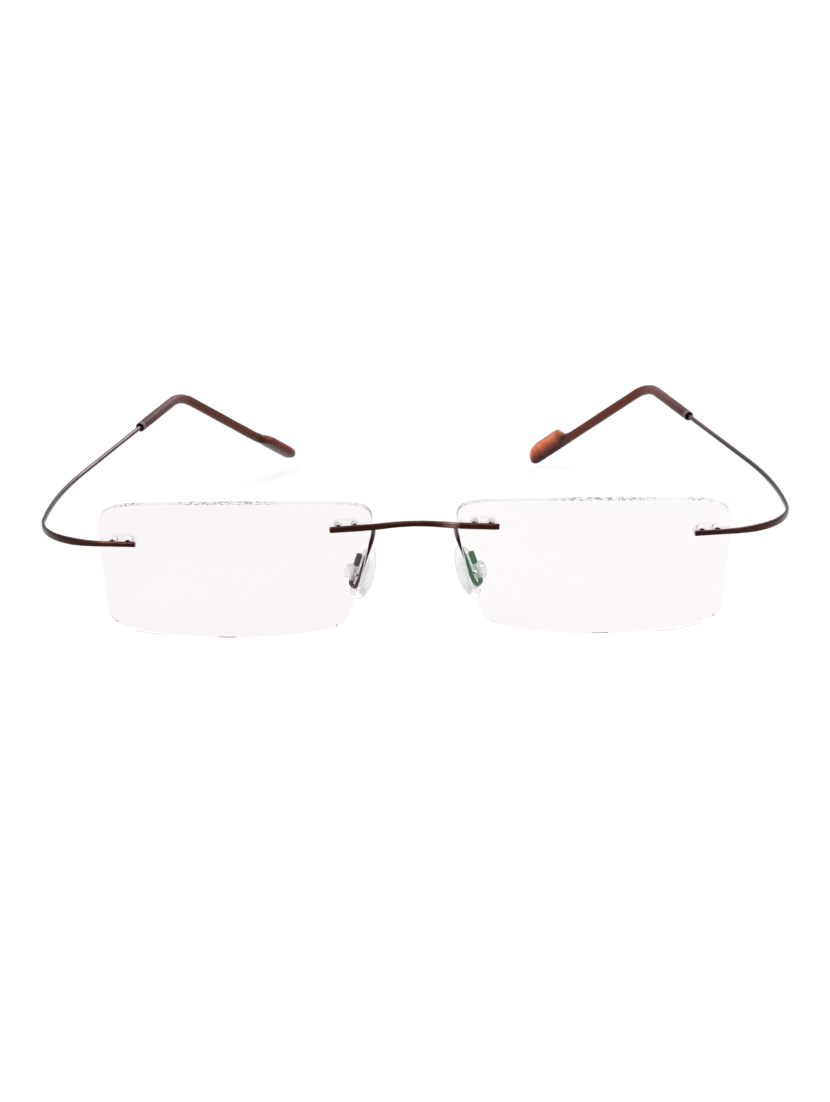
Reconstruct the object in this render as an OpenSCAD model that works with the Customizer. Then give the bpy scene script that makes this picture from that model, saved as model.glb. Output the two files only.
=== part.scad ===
// Rimless eyeglasses with hingeless, springy wire temples.
//
// Frame: X to the wearer's left, Y from the front towards the face, Z up. The origin is the
// middle of the bridge, level with its end bars. The glasses stand on the lower edge of the left
// lens and on the ends of the temple tips, give or take a millimetre or two.

/* [Lens] */
// Width of a lens at its widest
lens_w = 53; // [46:0.5:58]
// Height of a lens
lens_h = 27.8; // [24:0.2:34]
// Gap between the lenses
bridge_gap = 16; // [14:0.5:20]
// Radius of the lens's front surface
base_radius = 120; // [90:5:160]
// Thickness of a lens
lens_t = 2; // [1.6:0.1:3]
// Slope of the temporal side, as width per height
temporal_taper = 0.07; // [0:0.01:0.2]
// Slope of the nasal side, as width per height
nasal_taper = 0.14; // [0:0.01:0.24]
// Curve of the nasal side, rounder downwards
nasal_curve = 0.0055; // [0:0.0005:0.008]
// How square the upper corner by the temple is
upper_squareness = 9; // [3:0.5:14]
// How square the upper corner by the nose is
nasal_squareness = 12; // [3:0.5:14]
// How square the lower corners are
lower_squareness = 11; // [3:0.5:14]
// Drop of the top edge towards its ends, as a share of half the height
upper_bow = 0.09; // [0:0.01:0.3]
// Rise of the bottom edge towards its ends, as a share of half the height
lower_bow = 0.12; // [0:0.01:0.3]
// Turn of each lens towards its temple
wrap_angle = 2.5; // [0:1:10]
// Lean of the lens tops away from the face
lens_lean = 5; // [0:1:10]
// How far the left lens has turned on its bridge pins, its temple end down
left_lens_droop = 1.6; // [0:0.2:2]

/* [Lens mounts] */
// Height of the bridge's bars above the lens centre
bridge_mount_z = 8.7; // [4:0.1:10]
// Height of the temple's bars above the lens centre
temple_mount_z = 5.8; // [2:0.1:9]
// Slope of the temple's bars, down towards the temples
temple_mount_tilt = 2.6; // [0:0.2:6]
// Distance from the lens edge to the nearer pin of the bridge
bridge_pin_inset = 3.1; // [2.4:0.1:4]
// Distance from the lens edge to the nearer pin of the temple
temple_pin_inset = 2.7; // [2.4:0.1:4]
// Distance between the two pins of a mount
pin_pitch = 3.15; // [2.7:0.05:4]
// Diameter of a pin
pin_d = 0.9; // [0.8:0.05:1.2]
// Diameter of a drilled hole in a lens
hole_d = 1.5; // [1.4:0.05:2]
// Gap between a bar and the lens, which the pin collars fill
bar_standoff = 0.35; // [0.2:0.05:0.8]

/* [Bridge] */
// Height of the bridge wire
bridge_h = 1.2; // [0.9:0.05:1.6]
// Rise of the bridge above its end bars
bridge_rise = 0.5; // [0:0.1:4]
// Depth of the bridge wire at its middle
bridge_depth = 1.35; // [0.9:0.05:2]

/* [Temple] */
// Height of the temple's bar on the lens
temple_bar_h = 1; // [0.8:0.05:1.4]
// Radius of the bend at the corner of the front
corner_radius = 17.75; // [12:0.25:24]
// Height of the flattened strip at the corner
strip_h = 1.5; // [1:0.05:2]
// Thickness of the flattened strip at the corner
strip_t = 0.65; // [0.4:0.05:0.8]
// Diameter of the wire behind the corner
wire_d = 0.95; // [0.7:0.05:1.2]
// Length of the wire from the corner to the ear bend
temple_run = 80.4; // [75:0.1:95]
// Inward turn of the temple between the corner and the ear bend
temple_bow = 17.8; // [5:0.1:25]
// Climb of the temple towards the ear bend
temple_climb = 4.7; // [2:0.1:6]

/* [Temple tip] */
// Diameter of the sleeve on the wire
tip_d = 2.1; // [1.8:0.1:3]
// Length of the sleeve in front of the ear bend
tip_lead = 22.3; // [15:0.1:30]
// Length of the sleeve behind the ear bend
tip_drop = 46; // [38:0.5:50]
// Downward turn at the left ear bend
left_ear_drop = 37.7; // [20:0.1:45]
// Inward turn at the left ear bend
left_ear_turn = 22.7; // [0:0.1:30]
// Downward turn at the right ear bend
right_ear_drop = 35; // [20:0.1:45]
// Inward turn at the right ear bend
right_ear_turn = 16.7; // [0:0.1:30]
// Length of the paddle at the end
paddle_len = 14; // [9:0.5:15]
// Width of the paddle
paddle_w = 4.4; // [3.6:0.2:6.4]
// How far the left sleeve is turned on its wire
left_tip_roll = 0; // [-90:5:90]
// How far the right sleeve is turned on its wire
right_tip_roll = 80; // [-90:5:90]

/* [Nose pads] */
// Length of a pad
pad_len = 11; // [10.5:0.5:15]
// Width of a pad
pad_w = 7; // [6:0.5:8]
// Thickness of a pad
pad_t = 2.6; // [2.2:0.1:3.2]
// Angle of a pad seen from above
pad_splay = 28; // [15:1:35]
// Angle of a pad seen from the front
pad_flare = 19; // [10:1:22]
// Height of the gap that lets a pad rock on its tab
rock_gap = 0.34; // [0.3:0.02:0.5]

/* [Hidden] */

FINE = 48;
RING = 14;                    // corners of a swept wire's section
METAL = [0.24, 0.11, 0.08];
FIT = 0.02;                   // clearance between pieces that are pushed together

/* Vectors */
function unit(v) = v / norm(v);
function across(v, t) = unit(v - (v * t) * t);
function rot_z(p, a) = [p.x * cos(a) - p.y * sin(a), p.x * sin(a) + p.y * cos(a), p.z];
function rot_y(p, a) = [p.x * cos(a) + p.z * sin(a), p.y, p.z * cos(a) - p.x * sin(a)];
function rot_x(p, a) = [p.x, p.y * cos(a) - p.z * sin(a), p.y * sin(a) + p.z * cos(a)];
function mix(a, b, t) = a + (b - a) * t;
function sum(v, n) = n <= 0 ? 0 : v[n - 1] + sum(v, n - 1);

// A point on the cubic curve from p to q that leaves along tp and arrives along tq.
function hermite(p, tp, q, tq, t) =
    (2 * t ^ 3 - 3 * t ^ 2 + 1) * p + (t ^ 3 - 2 * t ^ 2 + t) * tp
    + (3 * t ^ 2 - 2 * t ^ 3) * q + (t ^ 3 - t ^ 2) * tq;

module basis(origin, x, y, z)
    multmatrix([[x.x, y.x, z.x, origin.x], [x.y, y.y, z.y, origin.y], [x.z, y.z, z.z, origin.z]])
        children();

module right_side() mirror([1, 0, 0]) children();

/* Sweeps */
function tangent(path, i) = unit(path[min(i + 1, len(path) - 1)] - path[max(i - 1, 0)]);

// A rounded section: half thickness a across the path, half height b along up, cornered by power.
function section(centre, t, up, a, b, power = 2) = let (u = across(up, t), s = cross(u, t))
    [for (k = [0:RING - 1]) let (
        c = cos(360 * (k + 0.5) / RING),
        d = sin(360 * (k + 0.5) / RING),
        r = (abs(c) ^ power + abs(d) ^ power) ^ (-1 / power)
    ) centre + s * a * r * c + u * b * r * d];

function join(rings) = [for (ring = rings) each ring];

// A closed skin over rings of n points each, with flat ends.
module skin(rings, n = RING) {
    last = len(rings) - 1;
    walls = [for (i = [0:last - 1], k = [0:n - 1]) let (
        a = i * n + k,
        b = i * n + (k + 1) % n
    ) each [[a, b, a + n], [b, b + n, a + n]]];
    front = [for (k = [n - 1:-1:0]) k];
    back = [for (k = [0:n - 1]) last * n + k];
    polyhedron(points = join(rings), faces = concat(walls, [front, back]), convexity = 6);
}

/* Lens shape and place */
lens_centre_x = (bridge_gap + lens_w) / 2;
lens_place = [lens_centre_x, 0.6, -bridge_mount_z];

function lens_world(p) = lens_place + rot_x(rot_z(p, wrap_angle), lens_lean);
function lens_turn(v) = rot_x(rot_z(v, wrap_angle), lens_lean);

module lens_frame()
    translate(lens_place) rotate([lens_lean, 0, 0]) rotate([0, 0, wrap_angle]) children();

// Half width of the lens at height z, before the corners round it: side 1 temporal, -1 nasal.
top_reach = lens_h / 2 * 0.75;
function half_width(side, z) = side > 0
    ? lens_w / 2 - temporal_taper * (top_reach - z)
    : lens_w / 2 - nasal_taper * (top_reach - z) - nasal_curve * (top_reach - z) ^ 2;

function corner_power(side, z) = z <= 0 ? lower_squareness : side < 0 ? nasal_squareness : upper_squareness;

function outline_point(angle) = let (
    c = cos(angle),
    s = sin(angle),
    power = corner_power(c, s),
    r = (abs(c) ^ power + abs(s) ^ power) ^ (-1 / power),
    bow = s > 0 ? upper_bow : lower_bow,
    z = lens_h / 2 * r * s * (1 - bow * (r * c) ^ 2)
) [half_width(sign(c), z) * r * c, z];

// The lens edge at height z on one side, in the lens's own frame.
function edge_x(side, z) = let (power = corner_power(side, z), bow = z > 0 ? upper_bow : lower_bow)
    side * half_width(side, z) * (1 - abs(2 * z / lens_h / (1 - bow)) ^ power) ^ (1 / power);

module lens(droop) {
    outline_points = 96;
    hang = [bridge_mount_x, bridge_mount_z];
    color([0.98, 0.95, 0.96, 0.3])
    lens_frame() difference() {
        intersection() {
            rotate([90, 0, 0]) linear_extrude(height = 40, center = true)
                translate(hang) rotate(-droop) translate(-hang)
                    polygon([for (i = [0:outline_points - 1]) outline_point(360 * (i + 0.5) / outline_points)]);
            translate([0, base_radius, 0]) difference() {
                sphere(r = base_radius, $fn = 200);
                sphere(r = base_radius - lens_t, $fn = 200);
            }
        }
        for (mount = [bridge_mount, temple_mount]) mount_frame(mount) pin_places() rotate([-90, 0, 0])
            cylinder(d = hole_d, h = 12, center = true, $fn = FINE);
    }
}

/* Mounts on a lens. Each is [x of the middle of its pins, z, slope], in the lens's frame. */
bridge_mount_x = edge_x(-1, bridge_mount_z) + bridge_pin_inset + pin_pitch / 2;
temple_mount_x = edge_x(1, temple_mount_z) - temple_pin_inset - pin_pitch / 2;
bridge_mount = [bridge_mount_x, bridge_mount_z, 0];
temple_mount = [temple_mount_x, temple_mount_z, temple_mount_tilt];

function front_y(m) = base_radius - sqrt(base_radius ^ 2 - m[0] ^ 2 - m[1] ^ 2);
function mount_turn(m) = asin(m[0] / base_radius);

// From a mount's frame, whose x runs along the bar and y along the pins, to the whole frame.
function mount_place(m) = [m[0], front_y(m), m[1]];
function mount_world(m, p) = lens_world(mount_place(m) + rot_z(rot_y(p, m[2]), mount_turn(m)));
function mount_dir(m, v) = lens_turn(rot_z(rot_y(v, m[2]), mount_turn(m)));

module mount_frame(m)
    translate(mount_place(m)) rotate([0, 0, mount_turn(m)]) rotate([0, m[2], 0]) children();
module pin_places() for (side = [-1, 1]) translate([side * pin_pitch / 2, 0, 0]) children();

bar_d = 0.9;                                  // depth of a bar, front to back
bar_y = -bar_standoff - bar_d / 2;            // middle of a bar in its mount's frame
bridge_bar_end = pin_pitch / 2 + 1.8;         // a bar's free end, past its outer pin
temple_bar_end = pin_pitch / 2 + 1.65;
flange_t = 0.6;
pin_end_y = lens_t + flange_t + 0.25;

module pins(mount) {
    collar_d = (hole_d + pin_d) / 2;
    color(METAL) lens_frame() mount_frame(mount) pin_places() rotate([-90, 0, 0]) {
        translate([0, 0, -bar_standoff]) cylinder(d = pin_d, h = pin_end_y + bar_standoff, $fn = FINE);
        translate([0, 0, -bar_standoff]) cylinder(d = collar_d, h = bar_standoff - FIT, $fn = FINE);
    }
}

// Two clear sleeves on one flange, pushed into the lens from behind.
module bushing(mount) {
    sleeve_d = hole_d - 2 * FIT;
    bore_d = pin_d + 2 * FIT;
    flange_h = 1.9;
    flange_y = lens_t + 0.08;
    color([0.9, 0.92, 0.95, 0.4]) lens_frame() mount_frame(mount) difference() {
        union() {
            pin_places() rotate([-90, 0, 0]) {
                translate([0, 0, 0.12]) cylinder(d = sleeve_d, h = flange_y, $fn = FINE);
                translate([0, 0, flange_y]) cylinder(d = flange_h, h = flange_t, $fn = FINE);
            }
            translate([-pin_pitch / 2, flange_y, -flange_h / 2]) cube([pin_pitch, flange_t, flange_h]);
        }
        pin_places() rotate([-90, 0, 0]) translate([0, 0, -1]) cylinder(d = bore_d, h = 8, $fn = FINE);
    }
}

/* Bridge */
function bridge_bar(x) = mount_world(bridge_mount, [x, bar_y, 0]);
bridge_dir = mount_dir(bridge_mount, [-1, 0, 0]);
bridge_inner = -pin_pitch / 2 - 1.9;          // where the bar ends and the arch starts
arch_start = bridge_bar(bridge_inner);
arch_mid = [0, arch_start.y + 0.35, arch_start.z + bridge_rise];
ARCH_STEPS = 12;

half_bridge = concat(
    [for (x = [bridge_bar_end, bridge_bar_end - 0.12, 0]) bridge_bar(x)],
    [for (i = [0:ARCH_STEPS]) hermite(arch_start, bridge_dir * arch_start.x, arch_mid,
        [-arch_start.x * 1.2, 0, 0], i / ARCH_STEPS)]
);
other_half = [for (i = [len(half_bridge) - 2:-1:0]) let (p = half_bridge[i]) [-p.x, p.y, p.z]];
bridge_path = concat(half_bridge, other_half);

module bridge() {
    color(METAL) skin([for (i = [0:len(bridge_path) - 1]) let (
        p = bridge_path[i],
        middle = max(0, 1 - abs(p.x) / arch_start.x),
        end = i == 0 || i == len(bridge_path) - 1 ? 0.85 : 1,
        blend = middle * middle * (3 - 2 * middle)
    ) section(p, tangent(bridge_path, i), [0, 0, 1],
        mix(bar_d, bridge_depth, blend) / 2 * end, mix(bridge_h, bridge_h * 0.9, blend) / 2 * end,
        mix(4, 2.4, blend))]);
}

/* Temple. The path is walked from the bar's free end: each leg has a length, a turn seen from above,
   a climb, a number of steps, and the wire's thickness and height at its end. */
temple_dir = mount_dir(temple_mount, [1, 0, 0]);
heading_0 = atan2(temple_dir.y, temple_dir.x);
pitch_0 = asin(temple_dir.z);
corner_turn = 90 - heading_0;
climb = temple_climb - pitch_0;
flexure_share = 0.36;
ear_bend_len = 9;

strip_in_turn = corner_turn * 0.3;
strip_turn = corner_turn * flexure_share;
strip_out_turn = corner_turn - strip_in_turn - strip_turn;
function arc_len(turn) = corner_radius * turn * PI / 180;

function legs(ear_turn, ear_drop) = [
    [temple_bar_end * 2, 0, 0, 3, bar_d, temple_bar_h],
    [arc_len(strip_in_turn), strip_in_turn, 0, 7, strip_t * 1.1, strip_h * 0.98],
    [arc_len(strip_turn), strip_turn, climb * 0.2, 9, strip_t, strip_h],
    [arc_len(strip_out_turn), strip_out_turn, climb * 0.6, 8, strip_t * 1.1, strip_h * 0.85],
    [temple_run * 0.35, temple_bow, climb * 0.2, 10, wire_d, wire_d],
    [temple_run * 0.65 - tip_lead, 0, 0, 4, wire_d, wire_d],
    [tip_lead - ear_bend_len / 2, 0, 0, 4, wire_d, wire_d],
    [ear_bend_len, ear_turn, -ear_drop, 12, wire_d, wire_d],
    [tip_drop - ear_bend_len / 2 - paddle_len, 0, 0, 6, wire_d, wire_d],
    [paddle_len * 0.5, 0, 0, 3, wire_d, wire_d],
];

LEGS = legs(left_ear_turn, left_ear_drop);
leg_steps = [for (leg = LEGS) leg[3]];
function leg_start(k) = sum(leg_steps, k);
STEPS = leg_start(len(LEGS));

// The path that walks some legs. Every step is a [length, turn, climb].
function walk(legs) = let (steps = [for (leg = legs, i = [1:leg[3]]) [leg[0], leg[1], leg[2]] / leg[3]]) [
    for (
        i = 0, p = mount_world(temple_mount, [-temple_bar_end, bar_y, 0]), h = heading_0, c = pitch_0;
        i <= STEPS;
        h1 = i < STEPS ? h + steps[i][1] : h,
        c1 = i < STEPS ? c + steps[i][2] : c,
        hm = (h + h1) / 2,
        cm = (c + c1) / 2,
        p = i < STEPS ? p + steps[i][0] * [cos(cm) * cos(hm), cos(cm) * sin(hm), sin(cm)] : p,
        h = h1,
        c = c1,
        i = i + 1
    ) p
];

// Both paths are for the left side. The right one is mirrored when it is used.
left_path = walk(LEGS);
right_path = walk(legs(right_ear_turn, right_ear_drop));

// Thickness and height of the wire at a step.
function leg_size(k) = [LEGS[max(k, 0)][4], LEGS[max(k, 0)][5]];
wire_sizes = [
    [bar_d, temple_bar_h],
    for (k = [0:len(LEGS) - 1], i = [1:leg_steps[k]]) mix(leg_size(k - 1), leg_size(k), i / leg_steps[k])
];
power_stops = [[0, 4], [leg_start(1), 4], [leg_start(3), 3], [leg_start(5), 2]];
wire_powers = [for (i = [0:STEPS]) lookup(i, power_stops)];

module temple_piece(path, from, to)
    color(METAL) skin([for (i = [leg_start(from):leg_start(to)])
        section(path[i], tangent(path, i), [0, 0, 1],
            wire_sizes[i][0] / 2, wire_sizes[i][1] / 2, wire_powers[i])]);

module temple_bar() temple_piece(left_path, 0, 2);
module temple_flexure() temple_piece(left_path, 2, 3);
module temple_wire(path) temple_piece(path, 3, len(LEGS));

/* Temple tip: a hollow sleeve round the wire that ends in a solid paddle. */
tip_from = leg_start(6);
paddle_from = leg_start(9);
PADDLE_STEPS = 20;
mouth_flare = 0.3;

// The paddle's edges across the rod, low and high, at a share of the way along it.
function paddle_low(t) = -tip_d / 2 * sqrt(max(0.02, 1 - max(0, (t - 0.8) / 0.2) ^ 2));
function paddle_high(t) = let (rise = min(1, t / 0.12), fall = max(0, (t - 0.62) / 0.38))
    (tip_d / 2 + (paddle_w - tip_d) * sqrt(1 - (1 - rise) ^ 2)) * sqrt(max(0.02, 1 - fall ^ 2.4));

function paddle_ring(path, t, roll) = let (
    rod_dir = tangent(path, STEPS),
    low = paddle_low(t),
    high = paddle_high(t),
    up = across([0, 0, 1], rod_dir),
    side = cross(up, rod_dir),
    wide = up * cos(roll) + side * sin(roll),
    nose = max(0, (t - 0.8) / 0.2),
    half_t = tip_d / 2 * sqrt(max(0.06, 1 - nose ^ 2.4)),
    centre = path[paddle_from] + rod_dir * paddle_len * t + wide * (low + high) / 2
) section(centre, rod_dir, wide, half_t, (high - low) / 2, 2 + min(0.8, t * 4));

function sleeve_ring(path, i, r) = section(path[i], tangent(path, i), [0, 0, 1], r, r);

module temple_tip(path, roll) {
    bore_r = wire_d / 2 + 0.06;
    flare_r = bore_r + mouth_flare;
    bore = [for (i = [STEPS:-1:tip_from]) sleeve_ring(path, i, i == tip_from ? flare_r : bore_r)];
    color([0.42, 0.18, 0.11]) skin(concat(
        bore,
        [for (i = [tip_from:paddle_from - 1]) sleeve_ring(path, i, tip_d / 2)],
        [for (k = [0:PADDLE_STEPS]) paddle_ring(path, k / PADDLE_STEPS, roll)]
    ));
}

/* Nose pads. Pad frame: x across the pad, y up its length, z towards the nose. */
pad_place = [10.2, 9.4, -11.5];
pad_z = [-cos(pad_splay) * cos(pad_flare), sin(pad_splay), -cos(pad_splay) * sin(pad_flare)];
pad_y = [-sin(pad_flare), 0, cos(pad_flare)];
pad_x = cross(pad_y, pad_z);
tab_z = -pad_t / 2 - 0.95;                    // middle of the tab behind the pad
tab_t = 0.6;
tab_w = 1.2;
tab_top = 4;
tab_foot = -1.95;
pivot_d = 0.7;
boss_r = 1.7;

function pad_world(p) = pad_place + pad_x * p.x + pad_y * p.y + pad_z * p.z;
module pad_frame() basis(pad_place, pad_x, pad_y, pad_z) children();

ARM_STEPS = 10;
arm_d = 0.85;
arm_start = [arch_start.x - 1.5, arch_start.y + 0.3, arch_start.z - bridge_h * 0.3];
arm_knee = [10.8, 5.6, -10.9];
arm_low = [12, 7, -13.4];
arm_end = pad_world([0, tab_foot, tab_z]);
function arm_leg(p, tp, q, tq, n) = [for (i = [0:n - 1]) hermite(p, tp, q, tq, i / n)];
arm_path = concat(
    arm_leg(arm_start, [-0.6, 13, -9], arm_knee, [3.2, 0.6, -12], ARM_STEPS),
    arm_leg(arm_knee, [1.2, 0.3, -3.6], arm_low, [0.7, 2.4, -0.6], ARM_STEPS / 2),
    arm_leg(arm_low, [0.3, 1.6, -0.4], arm_end, pad_y * 1.6, ARM_STEPS / 2),
    [arm_end - pad_y * 0.05, arm_end]
);

module pad_arm()
    color(METAL) skin([for (i = [0:len(arm_path) - 1])
        section(arm_path[i], tangent(arm_path, i), [1, 0, 0], arm_d / 2, arm_d / 2)]);

module pad_tab()
    color(METAL) pad_frame() translate([0, 0, tab_z]) union() {
        translate([-tab_w / 2, tab_foot, -tab_t / 2]) cube([tab_w, tab_top - tab_foot - tab_w / 2, tab_t]);
        translate([0, tab_top - tab_w / 2, 0]) cylinder(d = tab_w, h = tab_t, center = true, $fn = FINE);
        rotate([0, 90, 0]) cylinder(d = pivot_d, h = boss_r * 1.5, center = true, $fn = FINE);
    }

core_floor = -pad_t / 2 + 0.3;                // how deep the core sits in the soft pad
core_plate_t = 0.8;
module core_plate(grow) hull() for (side = [-1, 1])
    translate([0, side * 1.9, core_floor - 0.01]) cylinder(r = 1.7 + grow, h = core_plate_t + grow, $fn = 32);

// A clear clip that snaps on the tab and carries the soft pad.
module pad_core() {
    pocket_t = tab_t + 2 * rock_gap;
    boss_back = tab_z - pocket_t / 2 - 0.45;
    color([0.9, 0.93, 0.96, 0.4]) pad_frame() difference() {
        union() {
            core_plate(0);
            translate([0, 0, boss_back]) cylinder(r = boss_r, h = core_floor - boss_back, $fn = FINE);
        }
        translate([0, 0, tab_z]) cube([tab_w + 0.1, 2 * boss_r + 2, pocket_t], center = true);
        translate([0, 0, tab_z]) rotate([0, 90, 0])
            cylinder(d = pivot_d + 0.06, h = 3 * boss_r, center = true, $fn = FINE);
    }
}

// Half width of the pad's outline at an angle: a drop that is wider below its middle.
module pad_outline() polygon([for (i = [0:47]) let (a = 7.5 * i)
    [pad_w / 2 * cos(a) * (1 - 0.12 * sin(a)), pad_len / 2 * sin(a)]]);

module nose_pad() {
    crown = 24;
    color([0.95, 0.96, 0.97, 0.35]) pad_frame() difference() {
        intersection() {
            linear_extrude(height = pad_t * 2, center = true) pad_outline();
            translate([0, 0, pad_t / 2 - crown]) sphere(r = crown, $fn = 180);
            translate([0, 0, crown - pad_t / 2]) sphere(r = crown, $fn = 180);
        }
        core_plate(FIT);
        translate([0, 0, -pad_t]) cylinder(r = boss_r + 0.1, h = pad_t + core_floor, $fn = FINE);
    }
}

lens(left_lens_droop);  // left_lens
right_side() lens(0);  // right_lens
bridge();
pins(bridge_mount);  // left_bridge_pins
right_side() pins(bridge_mount);  // right_bridge_pins
pins(temple_mount);  // left_temple_pins
right_side() pins(temple_mount);  // right_temple_pins
bushing(bridge_mount);  // left_bridge_bushing
right_side() bushing(bridge_mount);  // right_bridge_bushing
bushing(temple_mount);  // left_temple_bushing
right_side() bushing(temple_mount);  // right_temple_bushing
temple_bar();  // left_temple_bar
right_side() temple_bar();  // right_temple_bar
temple_flexure();  // left_temple_flexure
right_side() temple_flexure();  // right_temple_flexure
temple_wire(left_path);  // left_temple_wire
right_side() temple_wire(right_path);  // right_temple_wire
temple_tip(left_path, left_tip_roll);  // left_temple_tip
right_side() temple_tip(right_path, right_tip_roll);  // right_temple_tip
pad_arm();  // left_pad_arm
right_side() pad_arm();  // right_pad_arm
pad_tab();  // left_pad_tab
right_side() pad_tab();  // right_pad_tab
pad_core();  // left_pad_core
right_side() pad_core();  // right_pad_core
nose_pad();  // left_nose_pad
right_side() nose_pad();  // right_nose_pad
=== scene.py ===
"""The looks of a pair of rimless eyeglasses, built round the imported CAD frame. All sizes are in metres."""

import math

import bmesh
import bpy
import numpy as np
from mathutils import Matrix, Vector
from mathutils.geometry import convex_hull_2d


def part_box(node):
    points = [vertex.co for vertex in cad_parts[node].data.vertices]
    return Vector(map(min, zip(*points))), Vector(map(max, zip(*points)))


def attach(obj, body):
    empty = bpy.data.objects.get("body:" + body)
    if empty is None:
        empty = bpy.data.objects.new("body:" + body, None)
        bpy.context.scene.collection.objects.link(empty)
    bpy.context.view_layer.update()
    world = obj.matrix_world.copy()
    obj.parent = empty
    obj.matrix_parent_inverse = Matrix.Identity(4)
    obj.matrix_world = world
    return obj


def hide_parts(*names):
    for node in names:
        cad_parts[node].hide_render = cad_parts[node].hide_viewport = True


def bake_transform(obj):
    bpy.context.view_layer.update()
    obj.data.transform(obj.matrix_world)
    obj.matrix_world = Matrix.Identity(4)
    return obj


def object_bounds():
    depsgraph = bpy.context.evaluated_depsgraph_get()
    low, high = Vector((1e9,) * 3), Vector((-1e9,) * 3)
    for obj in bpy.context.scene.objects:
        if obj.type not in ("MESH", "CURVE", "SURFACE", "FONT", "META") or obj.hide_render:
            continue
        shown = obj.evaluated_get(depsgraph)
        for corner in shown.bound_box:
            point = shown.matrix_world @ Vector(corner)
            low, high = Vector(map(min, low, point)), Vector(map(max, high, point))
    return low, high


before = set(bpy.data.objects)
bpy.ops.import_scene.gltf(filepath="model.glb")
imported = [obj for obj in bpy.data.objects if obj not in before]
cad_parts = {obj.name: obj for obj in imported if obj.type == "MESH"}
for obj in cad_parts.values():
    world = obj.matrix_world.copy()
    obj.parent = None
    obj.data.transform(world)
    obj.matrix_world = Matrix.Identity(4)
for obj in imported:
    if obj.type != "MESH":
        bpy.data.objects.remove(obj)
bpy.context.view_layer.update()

MM = 0.001
SIDES = ("left", "right")
MICRON = 0.001 * MM
SUBDIVISIONS = 2
SHARP_EDGE = math.radians(35)  # edges that turn more than this are seen as edges
RING_CORNERS = 14  # corners of the CAD's swept wires
CAP_REACH = 3 * MM  # wider than any wire's end


# --- Reading shapes from the frame ---------------------------------------------------------------


def cad_mesh(node):
    """A bmesh of a CAD node with its doubled vertices merged."""
    bm = bmesh.new()
    bm.from_mesh(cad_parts[node].data)
    bmesh.ops.remove_doubles(bm, verts=bm.verts, dist=1e-6)
    bm.faces.ensure_lookup_table()
    bm.verts.ensure_lookup_table()
    return bm


def end_caps(bm):
    """The flat ends of a swept wire, each as the set of its corners."""
    places = np.array([v.co for v in bm.verts])
    caps = {}
    for face in bm.faces:
        middle, normal = np.array(face.calc_center_median()), np.array(face.normal)
        height = (places - middle) @ normal
        apart = np.linalg.norm(places - middle, axis=1)
        flat = np.flatnonzero((abs(height) < 2 * MICRON) & (apart < CAP_REACH))
        corners = {bm.verts[i] for i in flat}
        if len(flat) == RING_CORNERS and is_round(places[flat]) and has_sharp_rim(corners, face.normal):
            caps[tuple(flat)] = corners
    return list(caps.values())


def is_round(corners):
    """Whether flat corners go round a wire's section, not along its wall."""
    spread = np.linalg.svd(corners - corners.mean(0), compute_uv=False)
    return spread[1] > 0.25 * spread[0]


def has_sharp_rim(corners, normal):
    """Whether every face beside the flat one that these corners span turns away sharply."""
    around = {face for vert in corners for face in vert.link_faces}
    walls = [face for face in around if not corners.issuperset(face.verts)]
    return all(abs(face.normal.dot(normal)) < 0.95 for face in walls)


def middle_of(corners):
    return sum((v.co for v in corners), Vector()) / len(corners)


def rings_of(node, start_near):
    """The rings of a swept node as an array (rings, corners, 3), from the cap nearest to a point."""
    bm = cad_mesh(node)
    level = min(end_caps(bm), key=lambda cap: (middle_of(cap) - Vector(start_near)).length)
    done, rings = set(level), [level]
    while level:
        level = {e.other_vert(v) for v in level for e in v.link_edges} - done
        done |= level
        rings.append(level)
    rings = [np.array([v.co for v in ring]) for ring in rings[:-1]]
    bm.free()
    return ordered(rings)


def ordered(rings):
    """Each ring's corners by their angle round the path, from straight up."""
    centres = np.array([ring.mean(0) for ring in rings])
    out, last_side = [], None
    for i, ring in enumerate(rings):
        side, up, _ = path_frame(centres, i)
        if last_side is not None and side @ last_side < 0:
            side = -side
        last_side = side
        spread = ring - centres[i]
        angle = np.arctan2(spread @ side, spread @ up) % (2 * math.pi)
        out.append(ring[np.argsort(angle)])
    return np.array(out)


def path_frame(centres, i):
    """(side, up, tangent) of a path at point i, with up as near to vertical as it can be."""
    tangent = centres[min(i + 1, len(centres) - 1)] - centres[max(i - 1, 0)]
    tangent = tangent / np.linalg.norm(tangent)
    up = np.array([0, 0, 1.0]) - tangent[2] * tangent
    up = up / np.linalg.norm(up)
    return np.cross(up, tangent), up, tangent


def main_axes(points):
    """(centre, rows of axes from the longest to the shortest spread) of a cloud of points."""
    centre = (points.min(0) + points.max(0)) / 2
    values, vectors = np.linalg.eigh(np.cov((points - points.mean(0)).T))
    return centre, vectors[:, np.argsort(-values)].T


def vertices(node):
    return np.array([v.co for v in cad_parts[node].data.vertices])


# --- Building meshes -----------------------------------------------------------------------------


def add_object(name, verts, faces, materials):
    mesh = bpy.data.meshes.new(name)
    mesh.from_pydata([tuple(v) for v in verts], [], faces)
    mesh.validate()
    bm = bmesh.new()
    bm.from_mesh(mesh)
    bmesh.ops.recalc_face_normals(bm, faces=bm.faces)
    bm.to_mesh(mesh)
    bm.free()
    for polygon in mesh.polygons:
        polygon.use_smooth = True
    for material in materials:
        mesh.materials.append(material)
    obj = bpy.data.objects.new(name, mesh)
    bpy.context.scene.collection.objects.link(obj)
    return obj


def subdivide(obj):
    modifier = obj.modifiers.new("smooth", "SUBSURF")
    modifier.levels = SUBDIVISIONS
    modifier.render_levels = SUBDIVISIONS


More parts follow.
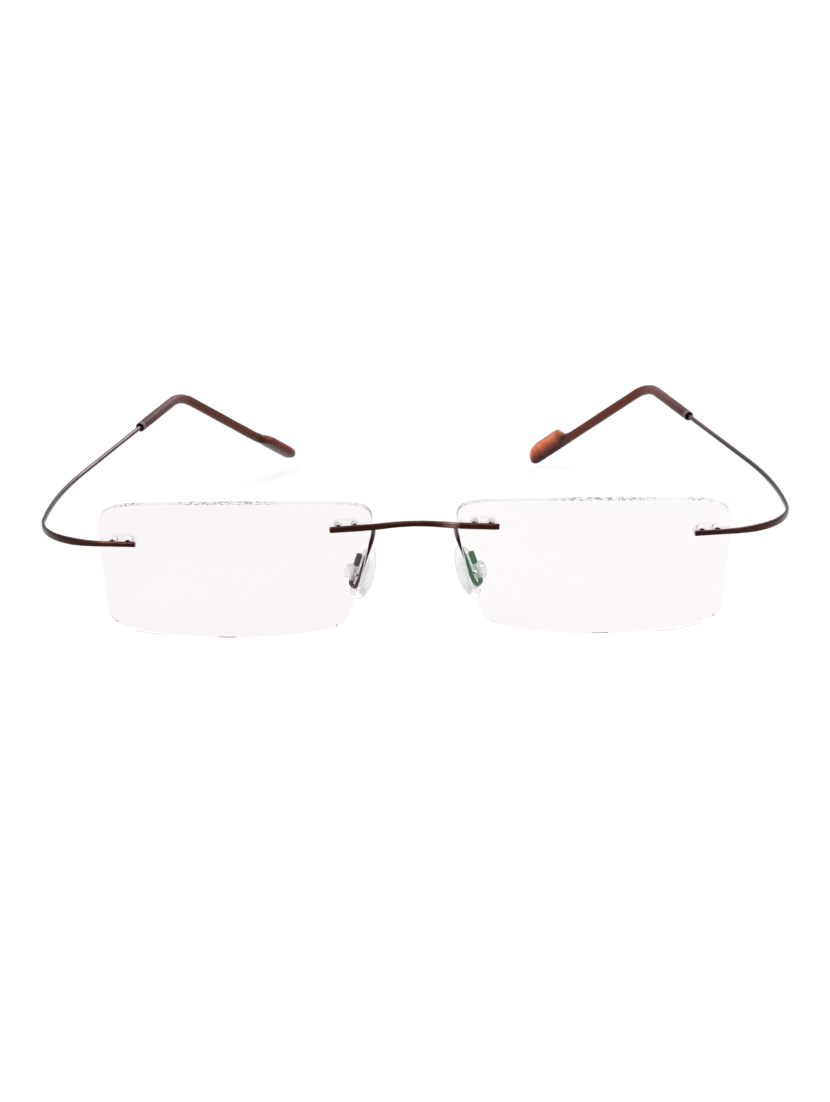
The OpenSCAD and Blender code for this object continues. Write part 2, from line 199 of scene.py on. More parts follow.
def bevel(obj, width):
    modifier = obj.modifiers.new("bevel", "BEVEL")
    modifier.width = width
    modifier.segments = 3
    modifier.limit_method = "ANGLE"
    modifier.angle_limit = SHARP_EDGE
    modifier.harden_normals = True


def set_attribute(obj, name, values):
    attribute = obj.data.attributes.new(name, "FLOAT", "POINT")
    attribute.data.foreach_set("value", np.array(values, np.float32))


# A closed B-spline through a ring's corners is this much smaller than the ring.
SUBDIVISION_SHRINK = (4 + 2 * math.cos(2 * math.pi / RING_CORNERS)) / 6


END_ROUND = 0.25  # of a wire's radius, at its cut ends


def swept(name, rings, material):
    """A smooth tube over rings of corners. Its ends are flat with a small rounding."""
    centres = rings.mean(1, keepdims=True)
    rings = centres + (rings - centres) / SUBDIVISION_SHRINK
    start = end_loops(rings[0], rings[1])
    end = end_loops(rings[-1], rings[-2])
    return tube(name, start + list(rings[1:-1]) + end[::-1], material)


def end_loops(rim, inner):
    """The loops that close a wire at its rim, from the middle of the end's face to its shoulder."""
    centre = rim.mean(0)
    radius = np.linalg.norm(rim - centre, axis=1).mean()
    inward = inner.mean(0) - centre
    inward = inward / np.linalg.norm(inward)
    face = centre + (rim - centre) * (1 - END_ROUND)
    middle = (centre + face) / 2
    corner = centre + (rim - centre) * 0.985
    shoulder = rim + inward * radius * END_ROUND
    return [middle, face, corner, shoulder]


def closed_loops(loops, first, last):
    """(vertices, faces) of quads between loops of corners, closed by a fan to a point at each end."""
    count = len(loops[0])
    verts = np.concatenate([*loops, [first], [last]])
    faces = []
    for i in range(len(loops) - 1):
        here, there = i * count, (i + 1) * count
        for k in range(count):
            follower = (k + 1) % count
            faces.append((here + k, here + follower, there + follower, there + k))
    start = (len(loops) - 1) * count
    faces += [(len(verts) - 2, (k + 1) % count, k) for k in range(count)]
    faces += [(len(verts) - 1, start + k, start + (k + 1) % count) for k in range(count)]
    return verts, faces


def tube(name, loops, material):
    """A smooth closed tube over loops of corners, marked with how far each point is along its path."""
    count = len(loops[0])
    centres = np.array([loop.mean(0) for loop in loops])
    verts, faces = closed_loops(loops, centres[0], centres[-1])
    obj = add_object(name, verts, faces, [material])
    steps = np.linalg.norm(np.diff(centres, axis=0), axis=1)
    along = np.concatenate([[0], np.cumsum(steps)])
    along = along / along[-1]
    set_attribute(obj, "along", np.concatenate([np.repeat(along, count), [0, 1]]))
    subdivide(obj)
    return obj


# --- Materials -----------------------------------------------------------------------------------


class Nodes:
    """A small helper that adds nodes to a new material and links them."""

    def __init__(self, name):
        self.material = bpy.data.materials.new(name)
        self.material.use_nodes = True
        self.tree = self.material.node_tree
        self.tree.nodes.clear()
        self.output = self.tree.nodes.new("ShaderNodeOutputMaterial")

    def add(self, kind, inputs=None, **settings):
        node = self.tree.nodes.new("ShaderNode" + kind)
        for key, value in settings.items():
            setattr(node, key, value)
        for key, value in (inputs or {}).items():
            socket = node.inputs[key]
            if isinstance(value, bpy.types.NodeSocket):
                self.tree.links.new(value, socket)
            else:
                socket.default_value = value
        return node

    def ramp(self, factor, *stops):
        node = self.add("ValToRGB", {"Fac": factor})
        elements = node.color_ramp.elements
        while len(elements) < len(stops):
            elements.new(0.5)
        for element, (position, colour) in zip(elements, stops):
            element.position = position
            element.color = colour if len(colour) == 4 else (*colour, 1)
        return node.outputs["Color"]

    def noise(self, scale, detail=3, stretch=(1, 1, 1)):
        place = self.add("TexCoord").outputs["Object"]
        mapped = self.add("Mapping", {"Vector": place, "Scale": stretch})
        inputs = {"Vector": mapped.outputs["Vector"], "Scale": scale, "Detail": detail}
        return self.add("TexNoise", inputs).outputs["Fac"]

    def span(self, value, low, high, to_low=0.0, to_high=1.0):
        """The value, mapped from low..high to to_low..to_high and held within them."""
        inputs = {"Value": value, "From Min": low, "From Max": high, "To Min": to_low, "To Max": to_high}
        return self.add("MapRange", inputs).outputs[0]

    def math(self, operation, a, b=0.0, clamp=False):
        return self.add("Math", {0: a, 1: b}, operation=operation, use_clamp=clamp).outputs[0]

    def mix_colour(self, factor, a, b, blend="MIX"):
        node = self.add("Mix", data_type="RGBA", blend_type=blend)
        for socket, value in ((node.inputs[0], factor), (node.inputs[6], a), (node.inputs[7], b)):
            if isinstance(value, bpy.types.NodeSocket):
                self.tree.links.new(value, socket)
            else:
                socket.default_value = value
        return node.outputs[2]

    def mix_shader(self, factor, a, b):
        node = self.add("MixShader", {0: factor})
        self.tree.links.new(a, node.inputs[1])
        self.tree.links.new(b, node.inputs[2])
        return node.outputs[0]

    def bump(self, height, strength, distance):
        inputs = {"Height": height, "Strength": strength, "Distance": distance}
        return self.add("Bump", inputs).outputs["Normal"]

    def finish(self, shader):
        self.tree.links.new(shader, self.output.inputs["Surface"])
        return self.material


def plated(n, tone, painted_sheen):
    """Thin plating over drawn wire: streaky, with painted shade underneath, a painted highlight on top, and
    a painted sheen where it turns away.
    """
    normal = n.add("SeparateXYZ", {"Vector": n.add("NewGeometry").outputs["Normal"]})
    # Painted light and shade: faces that look up are coloured brighter and faces that look down darker, in
    # uneven patches.
    upward = n.span(normal.outputs["Z"], -0.35, 0.55)
    patches = n.span(n.noise(80), 0.3, 0.7)
    level = n.span(n.math("MULTIPLY", upward, patches), 0, 1, 0.65, 1.8)
    grey = n.add("CombineXYZ", {"X": level, "Y": level, "Z": level}).outputs[0]
    colour = n.mix_colour(1.0, tone, grey, "MULTIPLY")
    # Painted sheen: where the wire turns away from the view, its colour is mixed towards a paler one.
    edge = n.math("POWER", n.add("LayerWeight", {"Blend": 0.3}).outputs["Facing"], 2.0)
    colour = n.mix_colour(n.math("MULTIPLY", edge, 0.45), colour, (*painted_sheen, 1))
    streaks = n.noise(2600, detail=4)
    return n.add("BsdfPrincipled", {
        "Base Color": colour,
        "Metallic": 1.0,
        "Roughness": n.span(streaks, 0, 1, 0.18, 0.36),
        "Normal": n.bump(streaks, 0.12, 0.02 * MM),
    }).outputs[0]


def wire_metal():
    """Dark brown plated wire, with a rosy highlight painted on the bridge where a reflection falls."""
    n = Nodes("brown_plated_wire")
    place = n.add("SeparateXYZ", {"Vector": n.add("TexCoord").outputs["Object"]})
    # Painted highlight: a band across x on the bridge, from the wire's own dark tone through a falloff to a
    # rosy highlight and back.
    across = n.span(place.outputs["X"], 3 * MM, 11 * MM)
    front = n.math("LESS_THAN", place.outputs["Y"], 3.5 * MM)
    dark, painted_highlight_falloff, painted_highlight = (0.034, 0.0125, 0.0095), (0.060, 0.028, 0.024), (0.27, 0.155, 0.14)
    tone = n.ramp(across, (0.0, dark), (0.25, painted_highlight_falloff), (0.5, painted_highlight), (0.56, painted_highlight), (0.72, dark))
    # Only where y is below 3.5 mm does the wire take the painted highlight band; elsewhere it keeps its dark
    # tone.
    tone = n.mix_colour(front, (*dark, 1), tone)
    # The last colour is the painted sheen of the wire's rim.
    return n.finish(plated(n, tone, (0.16, 0.08, 0.07)))


def temple_metal():
    """The temple's wire: brown on the lens, and greyer and paler behind its corner."""
    n = Nodes("temple_plated_wire")
    along = n.add("Attribute", attribute_name="along").outputs["Fac"]
    tone = n.ramp(
        along, (0.0, (0.036, 0.014, 0.011)), (0.1, (0.048, 0.020, 0.017)), (0.16, (0.045, 0.028, 0.026)),
        (0.22, (0.070, 0.056, 0.053)), (1.0, (0.072, 0.056, 0.056)),
    )
    # The last colour is the painted sheen of the wire's rim.
    return n.finish(plated(n, tone, (0.19, 0.14, 0.13)))


def tip_plastic():
    """Translucent brown sleeve: greyish over the wire, redder behind the bend, with a glow painted at the
    end.
    """
    n = Nodes("translucent_brown_sleeve")
    along = n.add("Attribute", attribute_name="along").outputs["Fac"]
    tone = n.ramp(
        along, (0.0, (0.15, 0.10, 0.095)), (0.012, (0.052, 0.019, 0.022)),
        (0.28, (0.125, 0.056, 0.058)), (0.36, (0.098, 0.018, 0.011)), (0.77, (0.096, 0.017, 0.009)),
        (0.795, (0.025, 0.010, 0.008)), (0.82, (0.060, 0.012, 0.008)),
    )
    cloud = n.noise(420)
    tone = n.mix_colour(n.math("MULTIPLY", cloud, 0.4), tone, (0.3, 0.17, 0.15, 1), "MULTIPLY")
    # Painted light: the paddle's end is coloured as if light shone through it, by the glow marked on each
    # point.
    glow = n.add("Attribute", attribute_name="glow").outputs["Fac"]
    painted_glow_colour = n.ramp(
        n.math("ADD", glow, n.math("MULTIPLY", n.math("SUBTRACT", cloud, 0.5), 0.35)),
        (0.0, (0.030, 0.004, 0.002)), (0.35, (0.13, 0.026, 0.013)), (0.65, (0.36, 0.085, 0.040)),
        (0.85, (0.58, 0.14, 0.06)), (1.0, (0.42, 0.16, 0.12)),
    )
    colour = n.mix_colour(n.span(along, 0.795, 0.83), tone, painted_glow_colour)
    roughness = n.ramp(along, (0.0, (0.5,) * 3), (0.3, (0.5,) * 3), (0.4, (0.3,) * 3), (1.0, (0.24,) * 3))
    shader = n.add("BsdfPrincipled", {
        "Base Color": colour,
        "Roughness": roughness,
        "IOR": 1.5,
        "Subsurface Weight": 0.2,
        "Subsurface Radius": (1.0, 0.35, 0.15),
        "Subsurface Scale": 0.4 * MM,
        "Specular IOR Level": 0.16,
        "Normal": n.bump(n.noise(3000), 0.08, 0.03 * MM),
    })
    return n.finish(shader.outputs[0])


def see_through(n, shader, tint):
    """The shader as seen, but only a tinted pass-through to light on its way to other surfaces."""
    path = n.add("LightPath")
    hidden = n.math("MAXIMUM", path.outputs["Is Shadow Ray"], path.outputs["Is Diffuse Ray"])
    clear = n.add("BsdfTransparent", {"Color": (*tint, 1)}).outputs[0]
    return n.mix_shader(hidden, shader, clear)


def lens_coating(name, passed, reflected):
    """A clear lens with an anti-reflection coating: a faint reflection of one hue, and the rest passes."""
    n = Nodes(name)
    haze = n.ramp(n.noise(35, detail=1), (0.3, passed), (0.7, [c * 0.997 for c in passed]))
    glass = n.add("BsdfRefraction", {"Color": haze, "Roughness": 0.0, "IOR": 1.5}).outputs[0]
    facing_out = n.math("SUBTRACT", 1.0, n.add("NewGeometry").outputs["Backfacing"])
    seen = n.mix_colour(facing_out, (0, 0, 0, 1), (*reflected, 1))
    gloss = n.add("BsdfGlossy", {"Color": seen, "Roughness": 0.02}).outputs[0]
    shader = n.add("AddShader")
    n.tree.links.new(glass, shader.inputs[0])
    n.tree.links.new(gloss, shader.inputs[1])
    return n.finish(see_through(n, shader.outputs[0], (0.96, 0.95, 0.955)))


def lens_edge():
    """The ground edge of a lens: pale and matt, painted darker along its top and paler along its bottom as
    light and shade, with dark flecks in a few stretches of its top.
    """
    n = Nodes("ground_lens_edge")
    place = n.add("SeparateXYZ", {"Vector": n.add("TexCoord").outputs["Object"]})
    sideways = n.math("MULTIPLY", n.math("ABSOLUTE", place.outputs["X"]), 10)
    black, grey, white = (0,) * 3, (0.6,) * 3, (1,) * 3
    reach = n.ramp(
        sideways, (0.10, grey), (0.16, black), (0.25, black), (0.30, white), (0.42, white), (0.47, black),
        (0.515, black), (0.53, white), (0.56, white), (0.575, black),
    )
    upper = n.math("GREATER_THAN", place.outputs["Z"], 0)
    fine = n.math("GREATER_THAN", n.noise(1500, detail=1, stretch=(1, 0.9, 0.9)), 0.53)
    flecks = n.math("MULTIPLY", n.math("MULTIPLY", fine, reach), upper)
    # Painted light and shade: the top half of the edge is coloured darker and the bottom half paler, for
    # what each refracts.
    ground = n.mix_colour(upper, (0.64, 0.63, 0.635, 1), (0.44, 0.43, 0.435, 1))
    colour = n.mix_colour(flecks, ground, (0.17, 0.17, 0.175, 1))
    frosted = n.add("BsdfPrincipled", {
        "Base Color": colour, "Roughness": 0.5, "IOR": 1.5, "Specular IOR Level": 0.3,
    }).outputs[0]
    return n.finish(see_through(n, frosted, (0.9, 0.9, 0.9)))


def clear_plastic(name, outline, tint, roughness, sharpness, milk):
    """Clear moulding: almost invisible face on, with a grey outline painted as shade where it turns away,
    and a share of milk.
    """
    n = Nodes(name)
    facing = n.add("LayerWeight", {"Blend": 0.5}).outputs["Facing"]
    # Painted shade: the outline colour is mixed into the pass-through where the surface turns away, unevenly
    # by a noise.
    edge = n.math("POWER", facing, sharpness)
    strength = n.span(n.noise(900, detail=2), 0, 1, 0.75, 1.15)
    edge = n.math("MULTIPLY", edge, strength, clamp=True)
    colour = n.mix_colour(edge, (*tint, 1), (*outline, 1))
    clear = n.add("BsdfTransparent", {"Color": colour}).outputs[0]
    milky = n.add("BsdfDiffuse", {"Color": (0.85, 0.85, 0.88, 1)}).outputs[0]
    clear = n.mix_shader(n.math("MULTIPLY", n.math("SUBTRACT", 1.0, edge), milk), clear, milky)
    gloss = n.add("BsdfGlossy", {"Color": (1, 1, 1, 1), "Roughness": roughness}).outputs[0]
    fresnel = n.add("Fresnel", {"IOR": 1.42}).outputs[0]
    shader = n.mix_shader(n.math("MULTIPLY", fresnel, 0.6), clear, gloss)
    return n.finish(see_through(n, shader, (0.97, 0.97, 0.97)))


def floor_white():
    """A pale floor that keeps an even tone of its own and takes soft contact shadows."""
    n = Nodes("pale_floor")
    tone = n.ramp(n.noise(3, detail=2), (0.3, (0.145,) * 3), (0.7, (0.15,) * 3))
    matt = n.add("BsdfDiffuse", {"Color": tone}).outputs[0]
    glow = n.add("Emission", {"Color": (1, 1, 1, 1), "Strength": 0.76}).outputs[0]
    shader = n.add("AddShader")
    n.tree.links.new(matt, shader.inputs[0])
    n.tree.links.new(glow, shader.inputs[1])
    return n.finish(shader.outputs[0])


METAL = wire_metal()
TEMPLE_METAL = temple_metal()
TIP = tip_plastic()
LENS_EDGE = lens_edge()
# What the two surfaces of a lens pass, and what its front reflects.
COATING = {
    "left": lens_coating("green_coated_lens", (0.943, 0.880, 0.915), (0.045, 0.13, 0.072)),
    "right": lens_coating("violet_coated_lens", (0.932, 0.917, 0.916), (0.050, 0.045, 0.055)),
}
# The first colour of each is the painted shade of its outline.
BUSHING = clear_plastic("clear_bushing", (0.74, 0.74, 0.78), (0.99, 0.99, 0.99), 0.08, 2.5, 0.0)
CLIP = clear_plastic("clear_pad_clip", (0.5, 0.5, 0.53), (0.98, 0.98, 0.985), 0.08, 2.4, 0.28)
SILICONE = clear_plastic("clear_silicone", (0.66, 0.67, 0.69), (0.985, 0.987, 0.988), 0.25, 1.9, 0.0)


# --- Lenses --------------------------------------------------------------------------------------


def fit_sphere(points):
    """(centre, radius) of the sphere nearest to some points."""
    system = np.c_[2 * points, np.ones(len(points))]
    solution = np.linalg.lstsq(system, (points**2).sum(1), rcond=None)[0]
    return solution[:3], math.sqrt(solution[3] + solution[:3] @ solution[:3])


def lens_axis(bm):
    """The direction that all of a lens's edge faces run along."""
    walls = [f for f in bm.faces if abs(f.normal.y) < 0.5]
    normals = np.array([f.normal for f in walls])
    weights = np.array([f.calc_area() for f in walls])
    _, vectors = np.linalg.eigh((normals * weights[:, None]).T @ normals)
    axis = vectors[:, 0]
    return axis * np.sign(axis[1])


def smooth_outline(points, count):
    """A closed outline with count evenly spread points that follows the given ones."""
    closed = np.concatenate([points, points[:1]])
    length = np.concatenate([[0], np.cumsum(np.linalg.norm(np.diff(closed, axis=0), axis=1))])
    place = np.linspace(0, length[-1], count, endpoint=False)
    even = np.stack([np.interp(place, length, closed[:, k]) for k in range(points.shape[1])], 1)
    return (np.roll(even, 1, 0) + 2 * even + np.roll(even, -1, 0)) / 4


LENS_CORNERS = 240
LENS_RINGS = (0.04, 0.2, 0.4, 0.6, 0.78, 0.9, 0.965, 0.99)  # as shares of the way to the edge
LENS_EDGE_ROUND = 0.12 * MM
FACES_FORWARDS = 0.93  # cosine that tells a lens's two surfaces from its edge


def build_lens(side):
    node = f"{side}_lens"
    bm = cad_mesh(node)
    axis = lens_axis(bm)
    points = np.array([v.co for v in bm.verts])
    across = np.cross([0, 0, 1], axis)
    across = across / np.linalg.norm(across)
    plane = np.stack([across, np.cross(axis, across)], 1)
    bm.free()

    flat = points @ plane
    hull = flat[convex_hull_2d([Vector(p) for p in flat])]
    outline = smooth_outline(hull, LENS_CORNERS)
    middle = (flat.min(0) + flat.max(0)) / 2

    # Front and back surfaces are spheres through the CAD's front and back points.
    spheres = []
    for sign in (-1, 1):
        surface = [p for p, n in vertex_normals(node) if n @ axis * sign > FACES_FORWARDS]
        spheres.append(fit_sphere(np.array(surface)))

    def on_surface(uv, which):
        centre, radius = spheres[which]
        c_uv, c_depth = centre @ plane, centre @ axis
        reach = radius**2 - ((uv - c_uv) ** 2).sum(-1)
        d = c_depth - np.sqrt(reach)
        return uv @ plane.T + d[:, None] * axis

    loops = []
    inset = outline - LENS_EDGE_ROUND * outline_normals(outline)
    for which, order in ((0, 1), (1, -1)):
        rings = [on_surface(middle + (inset - middle) * share, which) for share in LENS_RINGS]
        rings.append(on_surface(inset, which))
        rings.append(on_surface(outline, which) + axis * LENS_EDGE_ROUND * order)
        loops += rings[::order]
    first, last = [on_surface(middle[None], which)[0] for which in (0, 1)]
    verts, faces = closed_loops(loops, first, last)
    obj = add_object(f"{side}_lens_glass", verts, faces, [COATING[side], LENS_EDGE])
    wall = len(loops) // 2 - 1
    for polygon in obj.data.polygons:
        ring = min(polygon.vertices) // len(outline)
        if len(polygon.vertices) == 4 and ring == wall:
            polygon.material_index = 1
    drill(obj, side)
    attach(obj, "front")
    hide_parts(node)


def vertex_normals(node):
    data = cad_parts[node].data
    out = []
    for polygon in data.polygons:
        normal = np.array(polygon.normal)
        out += [(np.array(data.vertices[i].co), normal) for i in polygon.vertices]
    return out


def outline_normals(outline):
    step = np.roll(outline, -1, 0) - np.roll(outline, 1, 0)
    normal = np.stack([step[:, 1], -step[:, 0]], 1)
    normal = normal / np.linalg.norm(normal, axis=1, keepdims=True)
    outward = ((outline - outline.mean(0)) * normal).sum(1)
    return normal * np.sign(outward.sum())


HOLE_R = 0.75 * MM
HOLE_CORNERS = 40
HOLE_AHEAD, HOLE_BEHIND = 4 * MM, 8 * MM  # far enough to pass through the lens


def drill(lens, side):
    """Cuts the pins' holes, the same size as the sleeves that fill them."""
    cutters = []
    for mount in ("bridge", "temple"):
        for shaft in pin_shafts(f"{side}_{mount}_pins"):
            centre, axis = shaft
            start, end = centre - axis * HOLE_AHEAD, centre + axis * HOLE_BEHIND
            cutters.append(add_cylinder(start, end, HOLE_R, HOLE_CORNERS))
    for hole in cutters:
        modifier = lens.modifiers.new("hole", "BOOLEAN")
        modifier.operation = "DIFFERENCE"
        modifier.solver = "EXACT"
        modifier.object = hole
    bpy.context.view_layer.update()
    depsgraph = bpy.context.evaluated_depsgraph_get()
    cut = bpy.data.meshes.new_from_object(lens.evaluated_get(depsgraph))
    lens.modifiers.clear()
    cut.set_sharp_from_angle(angle=SHARP_EDGE)
    lens.data = cut
    for hole in cutters:
        bpy.data.objects.remove(hole)


def pin_shafts(node):
    """(centre, axis) of each pin of a pair, from the pair's separate solids."""
    bm = cad_mesh(node)
    shafts, seen = [], set()
    for start in bm.verts:
        if start in seen:
            continue
        group, queue = {start}, [start]
        while queue:
            for edge in queue.pop().link_edges:
                for vert in edge.verts:
                    if vert not in group:
                        group.add(vert)
                        queue.append(vert)
        seen |= group
        points = np.array([v.co for v in group])
        _, axes = main_axes(points)
        axis = axes[0] * np.sign(axes[0][1])
        shafts.append(((points.min(0) + points.max(0)) / 2, axis))
    bm.free()
    return shafts


def add_cylinder(start, end, radius, corners):
    axis = (end - start) / np.linalg.norm(end - start)
    side = np.cross(axis, [0, 0, 1])
    side = side / np.linalg.norm(side)
    up = np.cross(side, axis)
    angles = np.linspace(0, 2 * math.pi, corners, endpoint=False)
    ring = radius * (np.outer(np.cos(angles), side) + np.outer(np.sin(angles), up))
    verts = np.concatenate([start + ring, end + ring])
    faces = [(k, (k + 1) % corners, corners + (k + 1) % corners, corners + k) for k in range(corners)]
    faces += [tuple(range(corners))[::-1], tuple(range(corners, 2 * corners))]
    cutter = add_object("cutter", verts, faces, [LENS_EDGE, LENS_EDGE])
    for polygon in cutter.data.polygons:
        polygon.material_index = 1  # the same place as in the lens's list
    return cutter


# --- Metal wires ---------------------------------------------------------------------------------


def build_bridge():
    low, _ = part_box("bridge")
    wire = swept("bridge_wire", rings_of("bridge", low), METAL)
    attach(wire, "front")
    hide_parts("bridge")


def centre_of(node):
    low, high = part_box(node)
    return (low + high) / 2


def build_temple(side):
    """One wire from the lens to the ear, through the flexure."""
    bar, strip, wire = [f"{side}_temple_{part}" for part in ("bar", "flexure", "wire")]
    bar_rings = rings_of(bar, centre_of("bridge"))
    strip_rings = rings_of(strip, bar_rings[-1].mean(0))
    wire_rings = rings_of(wire, strip_rings[-1].mean(0))
    rings = np.concatenate([bar_rings, strip_rings[1:], wire_rings[1:]])
    obj = swept(f"{side}_temple_spring_wire", rings, TEMPLE_METAL)
    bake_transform(obj)
    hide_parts(bar, strip, wire)


def build_pad_arm(side):
    node = f"{side}_pad_arm"
    arm = swept(f"{side}_pad_arm_wire", rings_of(node, centre_of("bridge")), METAL)
    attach(arm, "front")
    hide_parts(node)


def build_tip(side):
    """The sleeve: its bore from the wire's end to the mouth, then its outside back to the paddle's end."""
    node = f"{side}_temple_tip"
    points = vertices(node)
    rings = rings_of(node, points[np.argmax(points[:, 1])])[::-1]
    obj = tube(f"{side}_temple_sleeve", crisp_mouth(rings), TIP)
    mark_along_sleeve(obj, rings)
    mark_glow(obj, rings, PADDLE_GLOW[side])
    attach(obj, f"{side}_temple")
    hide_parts(node)


def mouth_index(rings):
    """The last ring of the bore. The next one is the sleeve's outside at the same place."""
    steps = np.linalg.norm(np.diff(rings.mean(1), axis=0), axis=1)
    return int(np.argmin(steps[: len(steps) * 2 // 3]))


MOUTH_GAP = 0.04  # of the way to the next ring


def crisp_mouth(rings):
    """The rings, rescaled for subdivision, with close loops beside the mouth so that it stays crisp."""
    centres = rings.mean(1, keepdims=True)
    rings = centres + (rings - centres) / SUBDIVISION_SHRINK
    mouth = mouth_index(rings)
    loops = list(rings)
    loops.insert(mouth + 2, rings[mouth + 1] * (1 - MOUTH_GAP) + rings[mouth + 2] * MOUTH_GAP)
    loops.insert(mouth, rings[mouth] * (1 - MOUTH_GAP) + rings[mouth - 1] * MOUTH_GAP)
    return loops


def mark_along_sleeve(obj, rings):
    """Marks each point with its share of the way from the mouth to the paddle's end."""
    path = rings[mouth_index(rings) + 1 :].mean(1)
    length = np.concatenate([[0], np.cumsum(np.linalg.norm(np.diff(path, axis=0), axis=1))])
    share = np.linspace(0, 1, 300)
    line = np.stack([np.interp(share, length / length[-1], path[:, k]) for k in range(3)], 1)
    points = [np.array(v.co) for v in obj.data.vertices]
    nearest = [share[np.argmin(((line - p) ** 2).sum(1))] for p in points]
    obj.data.attributes["along"].data.foreach_set("value", np.array(nearest, np.float32))


# Painted glow: each paddle's share of the light painted through its end.
PADDLE_GLOW = {"left": 1.0, "right": 0.5}  # how much light comes through, as each paddle is turned


def mark_glow(obj, rings, strength):
    """Marks how much painted glow each point gets, for light showing through: more towards the top of the
    flat paddle.
    """
    outside = rings[mouth_index(rings) + 1 :]
    centres = outside.mean(1)
    half_height = np.ptp(outside[:, :, 2], axis=1) / 2
    values = []
    for vertex in obj.data.vertices:
        point = np.array(vertex.co)
        i = np.argmin(((centres - point) ** 2).sum(1))
        height = (point[2] - centres[i, 2]) / max(half_height[i], MICRON)
        values.append(strength * min(1, max(0, 0.5 + 0.62 * height)))
    set_attribute(obj, "glow", values)


# --- Nose pads -----------------------------------------------------------------------------------


PAD_CORNERS = 48
PAD_RINGS = 11
PAD_DROP = 0.12  # how much narrower the pad is at its top, as a share of its half width
PAD_FULLNESS = 0.45  # the power that rounds its rim: 1 is an ellipse, 0 a slab


def build_nose_pad(side):
    """A soft drop-shaped pad, thick in the middle, with a rounded rim."""
    node = f"{side}_nose_pad"
    points = vertices(node)
    _, (along, across, through) = main_axes(points)
    along = along * np.sign(along[2])
    axes = np.stack([across, along, through])
    spread = points @ axes.T
    low, high = spread.min(0), spread.max(0)
    centre = (low + high) / 2
    half = (high - low) / 2
    angles = np.linspace(0, 2 * math.pi, PAD_CORNERS, endpoint=False)
    outline = np.stack([np.cos(angles) * (1 - PAD_DROP * np.sin(angles)), np.sin(angles)], 1)
    outline = outline / np.abs(outline).max(0)
    loops = []
    for tilt in np.linspace(-90, 90, PAD_RINGS + 2)[1:-1]:
        reach = math.cos(math.radians(tilt)) ** PAD_FULLNESS
        height = math.sin(math.radians(tilt)) * (1 - 0.1 * reach)
        ring = np.c_[outline * reach * half[:2], np.full(PAD_CORNERS, height * half[2])]
        loops.append((ring + centre) @ axes)
    obj = tube(f"{side}_nose_pad_soft", loops, SILICONE)
    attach(obj, f"{side}_pad")
    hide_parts(node)


# --- CAD nodes that stay -------------------------------------------------------------------------


def dress(node, material, width):
    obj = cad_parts[node]
    obj.data.materials.clear()
    obj.data.materials.append(material)
    bevel(obj, width)


def dress_small_parts(side):
    for mount in ("bridge", "temple"):
        dress(f"{side}_{mount}_pins", METAL, 0.08 * MM)
        dress(f"{side}_{mount}_bushing", BUSHING, 0.1 * MM)
    dress(f"{side}_pad_tab", METAL, 0.12 * MM)
    dress(f"{side}_pad_core", CLIP, 0.15 * MM)


# --- Stage ---------------------------------------------------------------------------------------

FLOOR_WIDTH = 8.0
ELEVATION, TURN, ROLL = 17.0, 0.36, 1.25  # of the camera, in degrees
CAMERA_DISTANCE = 0.48
VIEW_WIDTH = 0.1572  # seen at the camera's distance
IMAGE_W, IMAGE_H = 830, 1102
AIM_BELOW_BRIDGE = 4.32 * MM


def build_floor():
    low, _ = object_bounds()
    half = FLOOR_WIDTH / 2
    verts = [(x, y, low.z) for x, y in ((-half, -half), (half, -half), (half, half), (-half, half))]
    floor = add_object("floor", verts, [(0, 1, 2, 3)], [floor_white()])


def build_camera():
    e, a, roll = [math.radians(v) for v in (ELEVATION, TURN, ROLL)]
    back = Vector((math.sin(a) * math.cos(e), -math.cos(a) * math.cos(e), math.sin(e)))
    right = Vector((0, 0, 1)).cross(back).normalized()
    up = back.cross(right)
    rolled = right * math.cos(roll) - up * math.sin(roll)
    tilted = up * math.cos(roll) + right * math.sin(roll)
    data = bpy.data.cameras.new("camera")
    data.sensor_width = 36
    view_height = VIEW_WIDTH * IMAGE_H / IMAGE_W
    data.lens = data.sensor_width * CAMERA_DISTANCE / view_height
    data.clip_start, data.clip_end = 0.01, 50
    camera = bpy.data.objects.new("camera", data)
    bpy.context.scene.collection.objects.link(camera)
    place = back * CAMERA_DISTANCE - up * AIM_BELOW_BRIDGE
    turn = Matrix((rolled, tilted, back)).transposed().to_4x4()
    camera.matrix_world = Matrix.Translation(place) @ turn
    bpy.context.scene.camera = camera


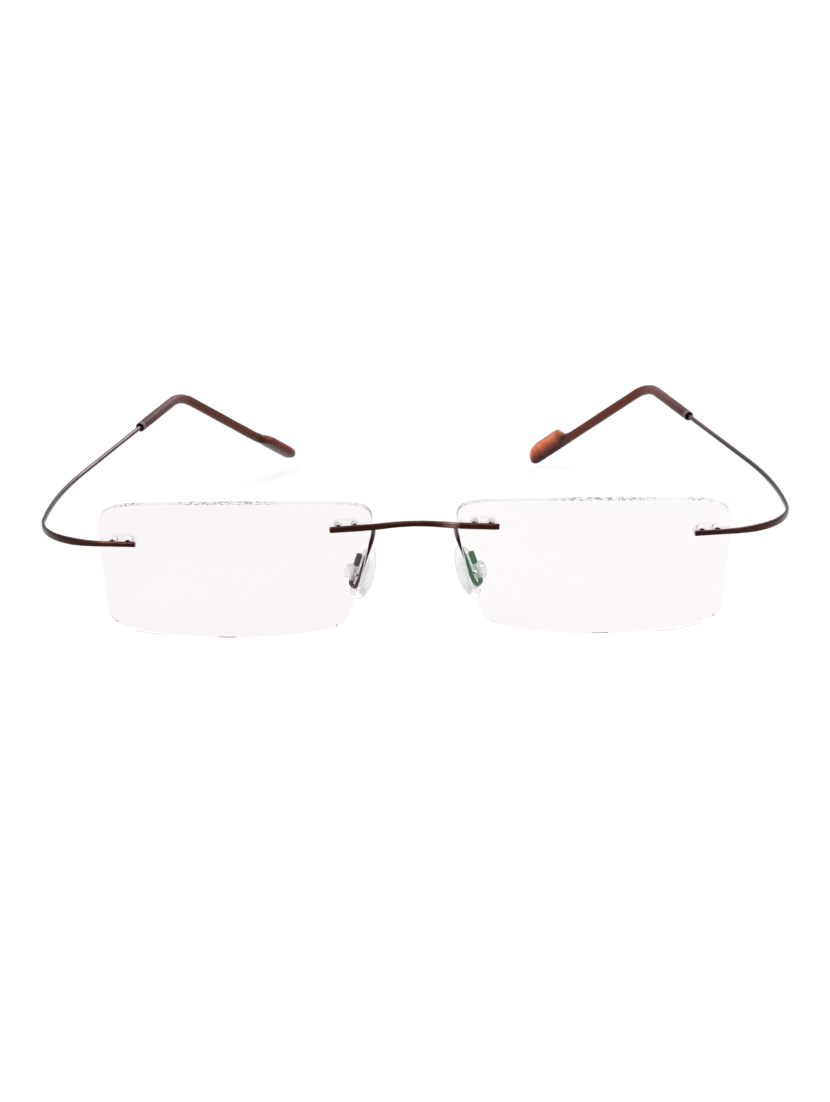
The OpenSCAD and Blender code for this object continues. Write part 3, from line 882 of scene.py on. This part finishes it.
def build_dome():
    """A soft dome, bright above and dim at the sides, so that wires show an edge; the backdrop is white."""
    world = bpy.data.worlds.new("studio")
    bpy.context.scene.world = world
    world.use_nodes = True
    tree = world.node_tree
    tree.nodes.clear()
    add = tree.nodes.new
    link = tree.links.new
    place = add("ShaderNodeTexCoord")
    split = add("ShaderNodeSeparateXYZ")
    link(place.outputs["Generated"], split.inputs[0])
    ramp = add("ShaderNodeValToRGB")
    link(split.outputs["Z"], ramp.inputs["Fac"])
    stops = ((0.0, 0.30), (0.25, 0.22), (0.55, 0.75), (0.8, 1.0))
    while len(ramp.color_ramp.elements) < len(stops):
        ramp.color_ramp.elements.new(0.5)
    for element, (position, level) in zip(ramp.color_ramp.elements, stops):
        element.position = position
        element.color = (level, level, level, 1)
    path = add("ShaderNodeLightPath")
    seen = add("ShaderNodeMath")
    seen.operation = "MAXIMUM"
    link(path.outputs["Is Camera Ray"], seen.inputs[0])
    link(path.outputs["Is Transmission Ray"], seen.inputs[1])
    dome = add("ShaderNodeBackground")
    dome.inputs["Strength"].default_value = 1.55
    link(ramp.outputs["Color"], dome.inputs["Color"])
    backdrop = add("ShaderNodeBackground")
    backdrop.inputs["Color"].default_value = (1, 1, 1, 1)
    backdrop.inputs["Strength"].default_value = 1.02
    mix = add("ShaderNodeMixShader")
    link(seen.outputs[0], mix.inputs[0])
    link(dome.outputs[0], mix.inputs[1])
    link(backdrop.outputs[0], mix.inputs[2])
    output = add("ShaderNodeOutputWorld")
    link(mix.outputs[0], output.inputs["Surface"])


def build_lamp(name, place, size, power):
    """A square soft lamp that faces the middle of the frame."""
    data = bpy.data.lights.new(name, "AREA")
    data.size = size
    data.energy = power
    lamp = bpy.data.objects.new(name, data)
    bpy.context.scene.collection.objects.link(lamp)
    lamp.location = place
    lamp.rotation_mode = "QUATERNION"
    lamp.rotation_quaternion = Vector(place).to_track_quat("Z", "Y")


for side in SIDES:
    build_lens(side)
    build_temple(side)
    build_tip(side)
    build_pad_arm(side)
    build_nose_pad(side)
    dress_small_parts(side)
build_bridge()
build_floor()
build_camera()
build_dome()
build_lamp("key", (-1.05, -1.5, 2.1), 1.05, 54)
build_lamp("rim", (1.2, 1.8, 1.8), 0.9, 36)
bpy.context.scene.view_settings.view_transform = "Standard"
